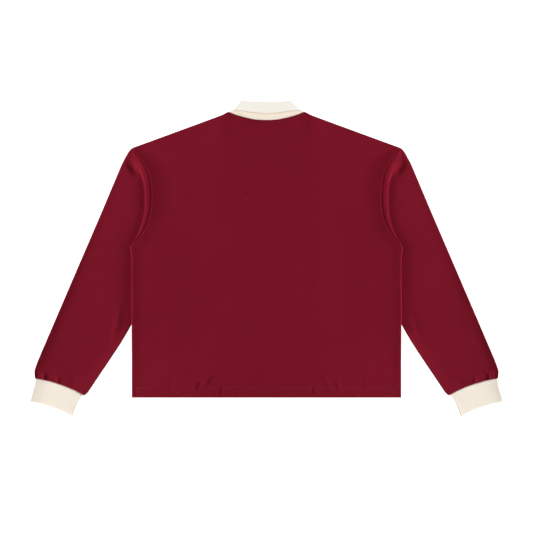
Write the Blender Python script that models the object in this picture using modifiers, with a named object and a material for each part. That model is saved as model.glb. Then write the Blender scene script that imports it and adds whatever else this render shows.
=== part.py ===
"""A boxy, cropped sweatshirt with a fold-over collar and rib cuffs, laid flat on its front.

X runs across the garment, Y from the hem to the collar and Z up from the table; metres.
In the tables a point is its distance out from the centre line and its height above the hem's edge.
Every surface here is a piece's outer face, and the cloth's thickness goes inwards from it.
"""

from collections import namedtuple
import math

import bpy
from mathutils import Vector

# ---- cloth ----
CLOTH = 0.0014            # sweatshirt knit
HEM_WALL = 0.0020         # the hem is turned up inside and pressed
RIB = 0.0016              # cuff
STAND_WALL = 0.0012
FALL_WALL = 0.0014
SEAM_GAP = 0.0003         # between pieces at a seam
LAYER_GAP = 0.0006        # between panels that lie on each other

# ---- body ----
HEM_WIDTH = 0.5932
BODY_LENGTH = 0.6292      # from the hem's edge to the neck point
NECK_WIDTH = 0.1686
SHOULDER_WIDTH = 0.5882
SHOULDER_HEIGHT = 0.5500
SHOULDER_BEND = (0.0979, 0.6219)          # where its line turns up to the neck point
UNDERARM_HEIGHT = 0.3307
UNDERARM_FLARE = 0.0250   # height over which the side runs out to the underarm
HEM_DEPTH = 0.0213
HEM_FADE = 0.0030         # half the height over which the hem's thickness runs out
SEAM_WIDTH = 0.008        # the strip at the sides where the back comes down to the front
SEAM_SINK = 0.0009        # and at the armhole sinks into the seam
BACK_NECK_DROP = 0.0185
BACK_NECK_CURVE = 2.1     # the neckline's exponent: 2 is a parabola, 1 a straight V
FRONT_NECK_DROP = 0.1040
FRONT_NECK_CURVE = 1.15

# ---- layers, as heights of outer faces above the table ----
BACK_TOP = 2 * CLOTH + LAYER_GAP
HEM_LIFT = 2 * (HEM_WALL - CLOTH)
SLEEVE_TOP = 0.0036
PRESSED = 0.0008          # how much thinner the sleeve lies where the body is on it
UNDERARM_TUCK = 0.0030    # how far the sleeve's first closed section is under the body

# The sleeve under it lifts the body's side: fully between the middle two heights, not at all
# beyond the outer two, and from near the side to a distance in from it.
SLEEVE_LIFT = SLEEVE_TOP + SEAM_GAP
SLEEVE_LIFT_HEIGHTS = (0.070, 0.165, 0.345, 0.420)
LIFT_OUTER = 0.012
BACK_LIFT_INNER = 0.170   # the back bridges more than the front
FRONT_LIFT_INNER = 0.100

# The collar's leaves lift the body at the neck, from nothing at the first value to all at the second.
COLLAR_LIFT = 0.0020
COLLAR_LIFT_HEIGHTS = (0.400, 0.475)
COLLAR_LIFT_OUT = (0.150, 0.088)

# ---- collar ----
STAND_TOP = 0.0049
STAND_BOTTOM = COLLAR_LIFT
COLLAR_INSET = 0.0016     # how far in from the neck point it is sewn on
COLLAR_CLEAR = 0.0009     # how much further it is from the neckline at its sides than at the centre
FALL_TOP = 0.0067
STAND_TUCK = 0.0072       # how far the stand's sides curve in, to stay inside the fall
FALL_BOW = 0.0071         # how far the free edge hangs at the centre back below its ends
FOLD_BOW = 0.0033
FRONT_STAND = 0.0200      # the stand's height at the centre front
FRONT_GAP = 0.0008        # half the opening between the collar's ends
SIDE_OUT = (0.90, 0.44)   # which way the collar faces at its sides
FOLD_CORNER = (0.0552, 0.6554)
FALL_CORNER = (0.0751, 0.6339)            # where the free edge turns over the side
LEAF_CORNER = (0.0783, 0.6322)            # and where it comes out on the front
FALL_LEAF = ((0.0790, 0.6080), (0.0775, 0.5760), (0.0705, 0.5380), (0.0520, 0.4870))

# ---- cuff ----
CUFF_TOP = 0.0042
CUFF_CROWN = 0.0003
CUFF_BANK = 0.0009        # how far its outer edge stands up, easing down over this reach
CUFF_BANK_REACH = 0.0240
CUFF_BOW = 0.0052         # how far both edges arch towards the sleeve
CUFF_INSET_OUTER = 0.0006 # how much fuller than the cuff the sleeve's end is, at its two edges
CUFF_INSET_INNER = 0.0035
CUFF_WAIST_OUTER = 0.0008 # how far its two sides curve in between its ends
CUFF_WAIST_INNER = 0.0030
CUFF_WAIST_PLACE = 0.7    # below 1 they curve in most nearer the sleeve
CUFF_END_OUTER = (0.5225, -0.0088)
CUFF_END_INNER = (0.4275, -0.0418)

Y_MIDDLE = (FOLD_CORNER[1] + CUFF_END_INNER[1]) / 2    # the origin is at the middle of the part's length

# One row for each section of the sleeve that ends at the armhole seam, from the shoulder down.
# The roll is the strip beside the seam that the swung sleeve pushes up, rise its height and lip
# how sharply it starts: 1 is a step, 0 an even slope. The sleeve is fuller than SLEEVE_TOP by
# crown, then dips before it meets the roll or the body.
Armhole = namedtuple("Armhole", "seam_x seam_height outer_height roll rise lip crown dip")
ARMHOLE = [
    Armhole(SHOULDER_WIDTH / 2, SHOULDER_HEIGHT, 0.5456, 0.0020, 0.0008, 0.0, 0.0000, 0.0000),
    Armhole(0.2884, 0.5400, 0.5330, 0.0080, 0.0014, 0.0, 0.0003, 0.0000),
    Armhole(0.2780, 0.5276, 0.5155, 0.0165, 0.0023, 0.0, 0.0006, 0.0000),
    Armhole(0.2671, 0.5100, 0.4968, 0.0160, 0.0027, 0.1, 0.0008, 0.0004),
    Armhole(0.2587, 0.4902, 0.4792, 0.0143, 0.0030, 0.6, 0.0008, 0.0008),
    Armhole(0.2536, 0.4638, 0.4572, 0.0130, 0.0034, 1.0, 0.0008, 0.0012),
    Armhole(0.2525, 0.4352, 0.4308, 0.0126, 0.0033, 1.0, 0.0008, 0.0012),
    Armhole(0.2554, 0.4088, 0.4055, 0.0116, 0.0032, 1.0, 0.0008, 0.0012),
    Armhole(0.2609, 0.3846, 0.3824, 0.0108, 0.0031, 1.0, 0.0008, 0.0012),
    Armhole(0.2688, 0.3692, 0.3670, 0.0086, 0.0032, 1.0, 0.0008, 0.0012),
    Armhole(0.2768, 0.3560, 0.3505, 0.0060, 0.0024, 1.0, 0.0008, 0.0012),
    Armhole(0.2885, 0.3428, 0.3340, 0.0034, 0.0006, 1.0, 0.0008, 0.0012),
    Armhole(0.2996, UNDERARM_HEIGHT, 0.3208, 0.0025, 0.0000, 1.0, 0.0008, 0.0012),
]
ARMHOLE_CREST = 0.62      # where the crown is reached, as a share of what shows
DIP_REACH = 0.019         # over which the sleeve dips

# One row for each section of the sleeve that is a closed tube, from the underarm to the cuff.
# The first rows' inner edge lies under the body. Crest is where the crown is reached, as a share
# of what shows, and bow how far the section arches up the arm.
Forearm = namedtuple("Forearm", "outer_height inner_x inner_height crown crest dip bow")
FOREARM = [
    Forearm(0.3060, 0.2880, 0.3164, 0.0008, 0.70, 0.0012, 0.0000),
    Forearm(0.2890, 0.2760, 0.2966, 0.0008, 0.76, 0.0013, 0.0000),
    Forearm(0.2700, 0.2690, 0.2702, 0.0009, 0.80, 0.0013, 0.0000),
    Forearm(0.2490, 0.2670, 0.2438, 0.0009, 0.80, 0.0013, 0.0000),
    Forearm(0.2280, 0.2700, 0.2218, 0.0009, 0.80, 0.0013, 0.0000),
    Forearm(0.2075, 0.2780, 0.2020, 0.0009, 0.80, 0.0012, 0.0000),
    Forearm(0.1690, 0.2968, 0.1613, 0.0009, 0.80, 0.0011, 0.0000),
    Forearm(0.1360, 0.3168, 0.1261, 0.0008, 0.80, 0.0000, 0.0004),
    Forearm(0.1030, 0.3437, 0.0847, 0.0008, 0.80, 0.0000, 0.0012),
    Forearm(0.0755, 0.3670, 0.0502, 0.0007, 0.80, 0.0000, 0.0026),
    Forearm(0.0568, 0.3862, 0.0216, 0.0006, 0.80, 0.0000, 0.0042),
    Forearm(0.0480, 0.3944, 0.0101, 0.0005, 0.80, 0.0000, 0.0052),
    Forearm(0.0427, 0.4010, 0.0048, 0.0004, 0.80, 0.0000, 0.0055),
]

# Edges stand up and ease down to the flat cloth: rise and reach at heights along each edge.
Bank = namedtuple("Bank", "height rise reach")
OUTER_BANK = [
    Bank(0.0427, 0.0005, 0.018),
    Bank(0.0600, 0.0011, 0.021),
    Bank(0.0850, 0.0015, 0.022),
    Bank(0.1400, 0.0015, 0.022),
    Bank(0.2370, 0.0014, 0.020),
    Bank(0.3160, 0.0008, 0.016),
    Bank(0.4350, 0.0003, 0.010),
    Bank(0.5400, 0.0003, 0.010),
]
INNER_BANK = [
    Bank(0.0427, 0.0012, 0.022),
    Bank(0.0755, 0.0023, 0.027),
    Bank(0.1360, 0.0020, 0.026),
    Bank(0.1690, 0.0003, 0.020),
    Bank(0.2075, 0.0000, 0.020),
]
BODY_BANK = [
    Bank(0.0000, 0.0006, 0.014),
    Bank(0.0300, 0.0012, 0.020),
    Bank(0.1000, 0.0020, 0.024),
    Bank(0.1600, 0.0022, 0.026),
    Bank(0.3200, 0.0022, 0.028),
    Bank(0.3600, 0.0025, 0.036),
    Bank(0.3846, 0.0032, 0.042),
    Bank(0.4088, 0.0040, 0.046),
    Bank(0.4352, 0.0045, 0.048),
    Bank(0.4900, 0.0049, 0.048),
    Bank(0.5100, 0.0048, 0.046),
    Bank(0.5276, 0.0041, 0.038),
    Bank(0.5500, 0.0008, 0.020),
    Bank(0.5600, 0.0000, 0.020),
]

BANK_CURVE = 1.6          # how an edge that stands up eases down: 1 is a straight slope
BODY_CURVE = 1.75         # and at the body's sides

# Gathers where the sleeve is eased into the cuff: place across the sleeve, from its outer edge.
Gather = namedtuple("Gather", "place depth half_width")
GATHERS = [
    Gather(0.08, 0.0008, 0.030),
    Gather(0.28, 0.0010, 0.035),
    Gather(0.52, 0.0007, 0.030),
    Gather(0.78, 0.0008, 0.030),
]
GATHER_REACH = 0.045      # height over which they die out

OUTER_EDGE = [
    (0.3000, 0.5456), (0.3046, 0.5392), (0.3092, 0.5312), (0.3137, 0.5230), (0.3181, 0.5146),
    (0.3222, 0.5052), (0.3265, 0.4950), (0.3656, 0.4022), (0.4110, 0.2966), (0.4563, 0.1910),
    (0.4790, 0.1380), (0.5014, 0.0854), (0.5073, 0.0700), (0.5108, 0.0568), (0.5100, 0.0427),
]

# ---- meshing ----
BODY_COLUMNS = (0.0, 0.16, 0.32, 0.46, 0.58, 0.68, 0.76, 0.82, 0.87, 0.91, 0.94, 0.965, 0.985, 1.0)
HEM_ROWS = (0.0, 0.006, 0.014, 0.019, 0.026, 0.045)
SIDE_ROWS = (0.075, 0.105, 0.140, 0.170, 0.200, 0.230, 0.260, 0.290, 0.312)
SHOULDER_PLACES = (0.17, 0.34, 0.51, 0.68, 0.85, 0.935, 1.0)
DROP_SPREAD = 1.5                                         # how the rows bend down towards the neckline
TOP_PLACES = (0.0, 0.06, 0.13, 0.22, 0.36, 0.54, 0.70, 0.82, 0.91, 1.0)   # from the outer edge to the roll
ROLL_PLACES = (0.0, 0.35, 0.70, 1.0)                      # across the roll, to the seam
ROLL_SHARE = (0.85, 0.97, 1.0, 0.94)                      # of its rise at those places
ROLL_STEP = 0.30                                          # how far before it the step starts, in rolls
SLOPE_END = 1.1                                           # where an even slope ends, in rolls
CLOSED_ROLL = 0.10                                        # the same strip on a closed section, in widths
BOTTOM_PLACES = (1.0, 0.75, 0.50, 0.25, 0.0)
EDGE_ANGLES = (-45.0, 0.0, 45.0)                          # round a folded edge, in degrees
MOST_EDGE = 0.4                                           # its thickness at most, in widths
CREASED = 50.0                                            # faces at more than this angle meet sharply
CUFF_PLACES = (0.0, 0.10, 0.22, 0.38, 0.54, 0.70, 0.84, 1.0)
CUFF_RINGS = 6
CROWN_CURVE = 0.8                                         # below 1 the cuff is fuller near its edges
COLLAR_ROWS = 5
BACK_STEPS = 5
FRONT_STEPS = 4
TURN_ANGLES = (0.0, 30.0, 60.0, 90.0, 120.0, 150.0, 180.0)


def ease(value, start, end):
    """0 at start, 1 at end and a smooth S between, whichever of the two is larger."""
    share = min(max((value - start) / (end - start), 0.0), 1.0)
    return share * share * (3 - 2 * share)


def between(table, at):
    """The second column of a table at a value of its first, joined by straight lines."""
    rows = sorted(table)
    if at <= rows[0][0]:
        return rows[0][1]
    for (low, first), (high, second) in zip(rows, rows[1:]):
        if at <= high:
            return first + (second - first) * (at - low) / (high - low)
    return rows[-1][1]


def on_table(x, height, z):
    """A garment point as a point in the scene."""
    return Vector((x, height - Y_MIDDLE, z))


# ---- the body's outline and heights ----

def half_width(height):
    """From the centre line to the body's side or armhole."""
    side = [(0.0, HEM_WIDTH / 2), (UNDERARM_HEIGHT - UNDERARM_FLARE, HEM_WIDTH / 2)]
    armhole = [(row.seam_height, row.seam_x) for row in ARMHOLE]
    return between(side + armhole, height)


def bank(rows, height, distance, curve=BANK_CURVE):
    """How far an edge stands up at a distance in from it: most at the edge, gone at its reach."""
    rise = between([(row.height, row.rise) for row in rows], height)
    reach = between([(row.height, row.reach) for row in rows], height)
    return rise * min(max(1 - distance / reach, 0.0), 1.0) ** curve


def body_lift(x, height, inner):
    """How far the sleeve and the collar's leaves under the front hold it off the table."""
    side = HEM_WIDTH / 2
    low, low_full, high_full, high = SLEEVE_LIFT_HEIGHTS
    over_sleeve = (
        ease(abs(x), side - inner, side - LIFT_OUTER)
        * ease(height, low, low_full)
        * ease(height, high, high_full)
    )
    over_collar = ease(height, *COLLAR_LIFT_HEIGHTS) * ease(abs(x), *COLLAR_LIFT_OUT)
    return SLEEVE_LIFT * over_sleeve + COLLAR_LIFT * over_collar


def back_height(x, height, edge, edge_height):
    """The back's upper face: over the front, thicker at the hem and standing up at its sides."""
    side = bank(BODY_BANK, edge_height, edge - abs(x), BODY_CURVE)
    hem = HEM_LIFT * ease(height, HEM_DEPTH + HEM_FADE, HEM_DEPTH - HEM_FADE)
    at_armhole = UNDERARM_HEIGHT < edge_height < SHOULDER_HEIGHT
    drop = LAYER_GAP - SEAM_GAP + (SEAM_SINK if at_armhole else 0.0)
    sewn = drop * ease(edge - abs(x), SEAM_WIDTH, 0.0)
    return BACK_TOP + body_lift(x, height, BACK_LIFT_INNER) + side + hem - sewn


def front_height(x, height, edge, edge_height):
    """The front's lower face."""
    return body_lift(x, height, FRONT_LIFT_INNER)


def body_rows(neck_drop, curve):
    """Rows of (x, height, edge, edge's height) across the body, from the hem to the neckline."""
    ends = [(half_width(height), height) for height in HEM_ROWS + SIDE_ROWS]
    ends += [(row.seam_x, row.seam_height) for row in reversed(ARMHOLE)]
    shoulder = [(SHOULDER_WIDTH / 2, SHOULDER_HEIGHT), SHOULDER_BEND, (NECK_WIDTH / 2, BODY_LENGTH)]
    along = [SHOULDER_WIDTH / 2 + (NECK_WIDTH - SHOULDER_WIDTH) / 2 * place for place in SHOULDER_PLACES]
    ends += [(edge, between(shoulder, edge)) for edge in along]
    columns = [-place for place in reversed(BODY_COLUMNS[1:])] + list(BODY_COLUMNS)
    rows = []
    for edge, end_height in ends:
        upper = max(end_height - UNDERARM_HEIGHT, 0.0) / (BODY_LENGTH - UNDERARM_HEIGHT)
        drop = neck_drop * upper ** DROP_SPREAD
        rows.append([
            (edge * place, end_height - drop * (1 - abs(place) ** curve), edge, end_height)
            for place in columns
        ])
    return rows


# ---- the collar's outline ----

def neckline(x, drop, curve):
    """The height of the neckline at a distance from the centre line."""
    return BODY_LENGTH - drop * (1 - abs(2 * x / NECK_WIDTH) ** curve)


def collar_lines():
    """The seam, the fold and the free edge from the centre back to the side, then to the front."""
    side_out = Vector(SIDE_OUT)
    fold_side = Vector(FOLD_CORNER) - side_out * FALL_TOP / 2
    fall_side = Vector(FALL_CORNER) - side_out * FALL_TOP / 2
    leaf_side = Vector(LEAF_CORNER) - side_out * FALL_TOP / 2
    stand_turn = (STAND_TOP - STAND_BOTTOM) / 2
    seam_side = Vector((NECK_WIDTH / 2, BODY_LENGTH)) - side_out * (stand_turn + COLLAR_INSET)
    back = []
    for step in range(BACK_STEPS + 1):
        place = step / BACK_STEPS
        seam_x = seam_side.x * place
        gap = SEAM_GAP + COLLAR_CLEAR * place ** 2
        fold_height = fold_side.y - FOLD_BOW * (1 - place ** 2)
        fall_height = fall_side.y - FALL_BOW * (1 + math.cos(math.pi * place)) / 2
        back.append((
            Vector((seam_x, neckline(seam_x, BACK_NECK_DROP, BACK_NECK_CURVE) + gap)),
            Vector((fold_side.x * place, fold_height)),
            Vector((fall_side.x * place, fall_height)),
        ))
    front_fold = Vector((FRONT_GAP, BODY_LENGTH - FRONT_NECK_DROP + FRONT_STAND))
    leaf = [leaf_side] + [Vector(point) for point in FALL_LEAF]
    front = []
    for step in range(FRONT_STEPS + 1):
        place = step / FRONT_STEPS
        seam_x = seam_side.x + (FRONT_GAP - seam_side.x) * place
        seam = Vector((seam_x, neckline(seam_x, FRONT_NECK_DROP, FRONT_NECK_CURVE) + SEAM_GAP))
        front.append((
            seam if step else back[-1][0],
            fold_side.lerp(front_fold, place),
            leaf[step],
        ))
    return back, front, side_out


# ---- making ----

def cloth_object(name, points, faces, wall, material, thick=None):
    """An open surface of outer-face points, given its wall by Solidify."""
    mesh = bpy.data.meshes.new(name)
    mesh.from_pydata(points, [], faces)
    mesh.shade_smooth()
    mesh.set_sharp_from_angle(angle=math.radians(CREASED))
    mesh.materials.append(material)
    piece = bpy.data.objects.new(name, mesh)
    garment.objects.link(piece)
    solidify = piece.modifiers.new("wall", "SOLIDIFY")
    solidify.thickness = wall
    solidify.offset = -1
    if thick:
        group = piece.vertex_groups.new(name="hem")
        group.add(thick, 1.0, "REPLACE")
        solidify.thickness = HEM_WALL
        solidify.vertex_group = group.name
        solidify.thickness_vertex_group = wall / HEM_WALL
    return piece


def turned(quad):
    """A quad facing the other way, split along the same diagonal."""
    first, second, third, fourth = quad
    return first, fourth, third, second


def grid_faces(rows, columns, facing_up=True):
    """The quads of a grid whose columns run along +X and rows along +Y."""
    faces = []
    for row in range(rows - 1):
        for column in range(columns - 1):
            corner = row * columns + column
            quad = (corner, corner + 1, corner + columns + 1, corner + columns)
            faces.append(quad if facing_up else turned(quad))
    return faces


def make_panel(name, neck_drop, curve, height_at, facing_up):
    """The front or the back: rows across the body, from hem to neckline."""
    rows = body_rows(neck_drop, curve)
    places = [place for row in rows for place in row]
    points = [on_table(x, height, height_at(x, height, edge, end)) for x, height, edge, end in places]
    faces = grid_faces(len(rows), len(rows[0]), facing_up)
    hem = [index for index, point in enumerate(points) if point.y + Y_MIDDLE < HEM_DEPTH]
    return cloth_object(name, points, faces, CLOTH, burgundy, hem)


def section_points(outer, inner, distances, heights, bow=0.0):
    """Points at distances from outer towards inner, arched up the arm by bow, at their heights."""
    run = (inner - outer).length
    across = (inner - outer) / run
    up_arm = Vector((-across.y, across.x))
    if up_arm.y < 0:
        up_arm = -up_arm
    points = []
    for distance, z in zip(distances, heights):
        share = distance / run
        place = outer + across * distance + up_arm * bow * 4 * share * (1 - share)
        points.append((place.x, place.y, z))
    return points


def edge_round(width, top, at_start):
    """Distances and heights round a folded edge, from under it to over it or back again."""
    radius = top / 2
    distances = []
    heights = []
    for angle in EDGE_ANGLES if at_start else reversed(EDGE_ANGLES):
        out = radius * (1 - math.cos(math.radians(angle)))
        distances.append(out if at_start else width - out)
        heights.append(radius + radius * math.sin(math.radians(angle)))
    return distances, heights


def sleeve_section(outer, inner, row, crest, roll, rise, lip, bow, closed):
    """One section's points: along the table, round the outer edge, over the top, round the inner one."""
    width = (inner - outer).length
    start = (1 + ROLL_STEP) * roll
    shown = width - start
    if closed:
        shown = min((outer.x - HEM_WIDTH / 2) * width / (outer.x - inner.x), width)
    gathered = ease(row.outer_height, OUTER_EDGE[-1][1] + GATHER_REACH, OUTER_EDGE[-1][1])

    def top_at(distance):
        dipped = min(max(1 - (shown - distance) / DIP_REACH, 0.0), 1.0) ** BANK_CURVE
        height = SLEEVE_TOP + row.crown * ease(distance, 0.0, crest * shown) - row.dip * dipped
        height += bank(OUTER_BANK, row.outer_height, distance)
        height += bank(INNER_BANK, row.outer_height, width - distance)
        if closed and shown < width:
            height -= PRESSED * ease(distance, shown, width)
        for gather in GATHERS:
            away = (distance / width - gather.place) / gather.half_width
            height -= gathered * gather.depth * math.exp(-away ** 2)
        return height

    distances, heights = edge_round(width, min(top_at(0.0), MOST_EDGE * width), True)
    first = distances[-1]
    last = width - top_at(width) / 2 if closed else width
    bottom = [first + (last - first) * place for place in BOTTOM_PLACES]
    distances = bottom + distances
    heights = [0.0] * len(bottom) + heights
    for place in TOP_PLACES:
        distance = first + (last - start - first) * place
        distances.append(distance)
        heights.append(top_at(distance))
    for place, share in zip(ROLL_PLACES, ROLL_SHARE):
        sloped = ease(place, -ROLL_STEP, SLOPE_END)
        distances.append(last - roll * (1 - place))
        heights.append(top_at(distances[-1]) + rise * (sloped + (share - sloped) * lip))
    if closed:
        arc_distances, arc_heights = edge_round(width, top_at(width), False)
        distances += arc_distances
        heights += arc_heights
    return section_points(outer, inner, distances, heights, bow)


def sleeve_sections():
    """Every section of the sleeve, from the shoulder to the cuff, and how many end at the armhole."""
    seam = [Vector((row.seam_x, row.seam_height)) for row in ARMHOLE]
    outer_at = [(height, x) for x, height in OUTER_EDGE]
    sections = []
    for index, row in enumerate(ARMHOLE):
        along = seam[min(index + 1, len(seam) - 1)] - seam[max(index - 1, 0)]
        outwards = Vector((-along.y, along.x)).normalized()
        closed = index == len(ARMHOLE) - 1
        inner = seam[index] + outwards * (-UNDERARM_TUCK if closed else SEAM_GAP)
        outer = Vector((between(outer_at, row.outer_height), row.outer_height))
        roll = min(row.roll, (inner - outer).length / 2)
        sections.append(sleeve_section(
            outer, inner, row, ARMHOLE_CREST, roll, row.rise, row.lip, 0.0, closed))
    for row in FOREARM:
        outer = Vector((between(outer_at, row.outer_height), row.outer_height))
        inner = Vector((row.inner_x, row.inner_height))
        roll = CLOSED_ROLL * (inner - outer).length
        sections.append(sleeve_section(outer, inner, row, row.crest, roll, 0.0, 0.0, row.bow, True))
    return sections, len(ARMHOLE) - 1


def make_sleeve(name, side):
    """A sleeve: open along the armhole seam above the underarm, a tube below it."""
    sections, open_rows = sleeve_sections()
    full = len(sections[-1])
    part = len(sections[0])
    points = []
    starts = []
    for section in sections:
        starts.append(len(points))
        points += [on_table(side * x, height, z) for x, height, z in section]
    faces = []
    for row in range(len(sections) - 1):
        first, second = starts[row], starts[row + 1]
        count = full if row >= open_rows else part - 1
        for column in range(count):
            after = (column + 1) % full
            quad = (first + column, first + after, second + after, second + column)
            faces.append(quad if side > 0 else turned(quad))
    return cloth_object(name, points, faces, CLOTH, burgundy)


def make_cuff(name, side):
    """A rib cuff: a short tube whose edges both arch towards the sleeve."""
    sleeve_outer = Vector(OUTER_EDGE[-1])
    sleeve_inner = Vector((FOREARM[-1].inner_x, FOREARM[-1].inner_height))
    inwards = (sleeve_inner - sleeve_outer).normalized()
    down_arm = Vector((-inwards.y, inwards.x))
    seam_outer = sleeve_outer + inwards * CUFF_INSET_OUTER + down_arm * SEAM_GAP
    seam_inner = sleeve_inner - inwards * CUFF_INSET_INNER + down_arm * SEAM_GAP
    end_outer, end_inner = Vector(CUFF_END_OUTER), Vector(CUFF_END_INNER)
    outer_radius, inner_radius = (CUFF_TOP + CUFF_BANK) / 2, CUFF_TOP / 2
    points = []
    for ring in range(CUFF_RINGS):
        down = ring / (CUFF_RINGS - 1)
        waist = math.sin(math.pi * down ** CUFF_WAIST_PLACE)
        outer = seam_outer.lerp(end_outer, down) + inwards * CUFF_WAIST_OUTER * waist
        inner = seam_inner.lerp(end_inner, down) - inwards * CUFF_WAIST_INNER * waist
        width = (inner - outer).length
        flat = [outer_radius + (width - outer_radius - inner_radius) * place for place in CUFF_PLACES]
        fullness = [CUFF_CROWN * math.sin(math.pi * place) ** CROWN_CURVE for place in CUFF_PLACES]
        standing = [
            CUFF_BANK * max(1 - (distance - outer_radius) / CUFF_BANK_REACH, 0.0) ** BANK_CURVE
            for distance in flat
        ]
        distances, heights = edge_round(width, CUFF_TOP + CUFF_BANK, True)
        distances += flat
        heights += [CUFF_TOP + crown + rise for crown, rise in zip(fullness, standing)]
        end_distances, end_heights = edge_round(width, CUFF_TOP, False)
        distances += end_distances + flat[::-2]
        heights += end_heights + [0.0] * len(flat[::-2])
        ring_points = section_points(outer, inner, distances, heights, CUFF_BOW)
        points += [on_table(side * x, height, z) for x, height, z in ring_points]
    count = len(points) // CUFF_RINGS
    faces = []
    for ring in range(CUFF_RINGS - 1):
        for column in range(count):
            after = (column + 1) % count
            first, second = ring * count, (ring + 1) * count
            quad = (first + column, first + after, second + after, second + column)
            faces.append(quad if side > 0 else turned(quad))
    return cloth_object(name, points, faces, RIB, cream)


def collar_row(back, front, side_out, top, bottom):
    """One row round the collar, from its left end at the front, round the back, to its right end."""
    radius = (top - bottom) / 2
    turn = []
    for angle in TURN_ANGLES[1:-1]:
        place = back[-1].lerp(front[0], angle / TURN_ANGLES[-1])
        place += side_out * radius * math.sin(math.radians(angle))
        z = bottom + radius + radius * math.cos(math.radians(angle))
        turn.append((place.x, place.y, z))
    over = [(point.x, point.y, top) for point in back]
    under = [(point.x, point.y, bottom) for point in front]
    half = over[1:] + turn + under
    left = [(-x, height, z) for x, height, z in reversed(half)]
    return left + [over[0]] + half


def make_collar(name, lower, upper, top, bottom, wall, material, tuck=0.0):
    """The stand, from its seam up to the fold, or the fall, from its free edge up to the fold."""
    back, front, side_out = collar_lines()
    points = []
    for step in range(COLLAR_ROWS):
        share = step / (COLLAR_ROWS - 1)
        inwards = side_out * tuck * 4 * share * (1 - share)
        back_line = [
            lines[lower].lerp(lines[upper], share) - inwards * (index / (len(back) - 1)) ** 2
            for index, lines in enumerate(back)
        ]
        front_line = [
            lines[lower].lerp(lines[upper], share) - inwards * (1 - index / (len(front) - 1)) ** 2
            for index, lines in enumerate(front)
        ]
        points += [on_table(*point) for point in collar_row(back_line, front_line, side_out, top, bottom)]
    faces = grid_faces(COLLAR_ROWS, len(points) // COLLAR_ROWS)
    return cloth_object(name, points, faces, wall, material)


def make_material(name, colour, roughness):
    material = bpy.data.materials.new(name)
    material.use_nodes = True
    shader = material.node_tree.nodes["Principled BSDF"]
    shader.inputs["Base Color"].default_value = (*colour, 1.0)
    shader.inputs["Roughness"].default_value = roughness
    shader.inputs["Metallic"].default_value = 0.0
    return material


for item in list(bpy.data.objects):
    bpy.data.objects.remove(item, do_unlink=True)
garment = bpy.data.collections.new("sweatshirt")
bpy.context.scene.collection.children.link(garment)
burgundy = make_material("burgundy_knit", (0.174, 0.008, 0.019), 0.9)
cream = make_material("cream_rib", (0.905, 0.815, 0.701), 0.9)
ivory = make_material("ivory_collar_knit", (0.896, 0.863, 0.783), 0.9)

make_panel("back", BACK_NECK_DROP, BACK_NECK_CURVE, back_height, True)
make_panel("front", FRONT_NECK_DROP, FRONT_NECK_CURVE, front_height, False)
for suffix, side in (("left", -1), ("right", 1)):
    make_sleeve(f"sleeve_{suffix}", side)
    make_cuff(f"cuff_{suffix}", side)
make_collar("collar_stand", 0, 1, STAND_TOP, STAND_BOTTOM, STAND_WALL, cream, STAND_TUCK)
make_collar("collar_fall", 2, 1, FALL_TOP, 0.0, FALL_WALL, ivory)
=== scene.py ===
"""Looks of the sweatshirt: its cloth, folds, seams, stitches and materials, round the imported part.

X runs across the garment, Y from the hem to the collar and Z up from the table; metres.
In the tables a point is its distance out from the centre line and its height above the hem's edge.
Creases give x with its sign where the two halves differ.
"""

from collections import namedtuple
import math

import bpy
import numpy as np
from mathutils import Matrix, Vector


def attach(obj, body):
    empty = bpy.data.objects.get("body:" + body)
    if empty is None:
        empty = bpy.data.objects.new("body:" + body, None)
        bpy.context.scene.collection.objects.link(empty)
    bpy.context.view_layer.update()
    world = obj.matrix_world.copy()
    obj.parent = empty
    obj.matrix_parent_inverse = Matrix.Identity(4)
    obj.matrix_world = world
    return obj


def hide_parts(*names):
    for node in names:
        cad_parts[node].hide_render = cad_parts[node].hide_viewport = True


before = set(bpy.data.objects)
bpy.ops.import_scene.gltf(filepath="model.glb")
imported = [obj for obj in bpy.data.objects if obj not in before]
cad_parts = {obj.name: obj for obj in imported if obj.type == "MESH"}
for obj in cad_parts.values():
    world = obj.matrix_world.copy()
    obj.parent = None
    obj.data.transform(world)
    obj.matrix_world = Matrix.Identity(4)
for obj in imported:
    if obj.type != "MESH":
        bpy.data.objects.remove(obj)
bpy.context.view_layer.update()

# ---- cloth ----
CLOTH = 0.0012  # sweatshirt knit
HEM_WALL = 0.0019  # the hem is turned up inside and pressed
RIB = 0.0014  # cuff
STAND_WALL = 0.001
FALL_WALL = 0.0012
SEAM_GAP = 0.0003

# ---- body ----
HEM_WIDTH = 0.5932
BODY_LENGTH = 0.6292  # from the hem's edge to the neck point
NECK_WIDTH = 0.1686
SHOULDER_WIDTH = 0.5882
SHOULDER_HEIGHT = 0.55
SHOULDER_BEND = (0.0979, 0.6219)  # where its line turns up to the neck point
UNDERARM_HEIGHT = 0.3307
UNDERARM_FLARE = 0.025  # height over which the side runs out to the underarm
HEM_DEPTH = 0.0213
BACK_NECK_DROP = 0.0185
BACK_NECK_CURVE = 2.1  # the neckline's exponent: 2 is a parabola, 1 a straight V
FRONT_NECK_DROP = 0.104
FRONT_NECK_CURVE = 1.15
DROP_SPREAD = 1.5  # above 1 the body's rows bend down mostly near the neckline

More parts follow.
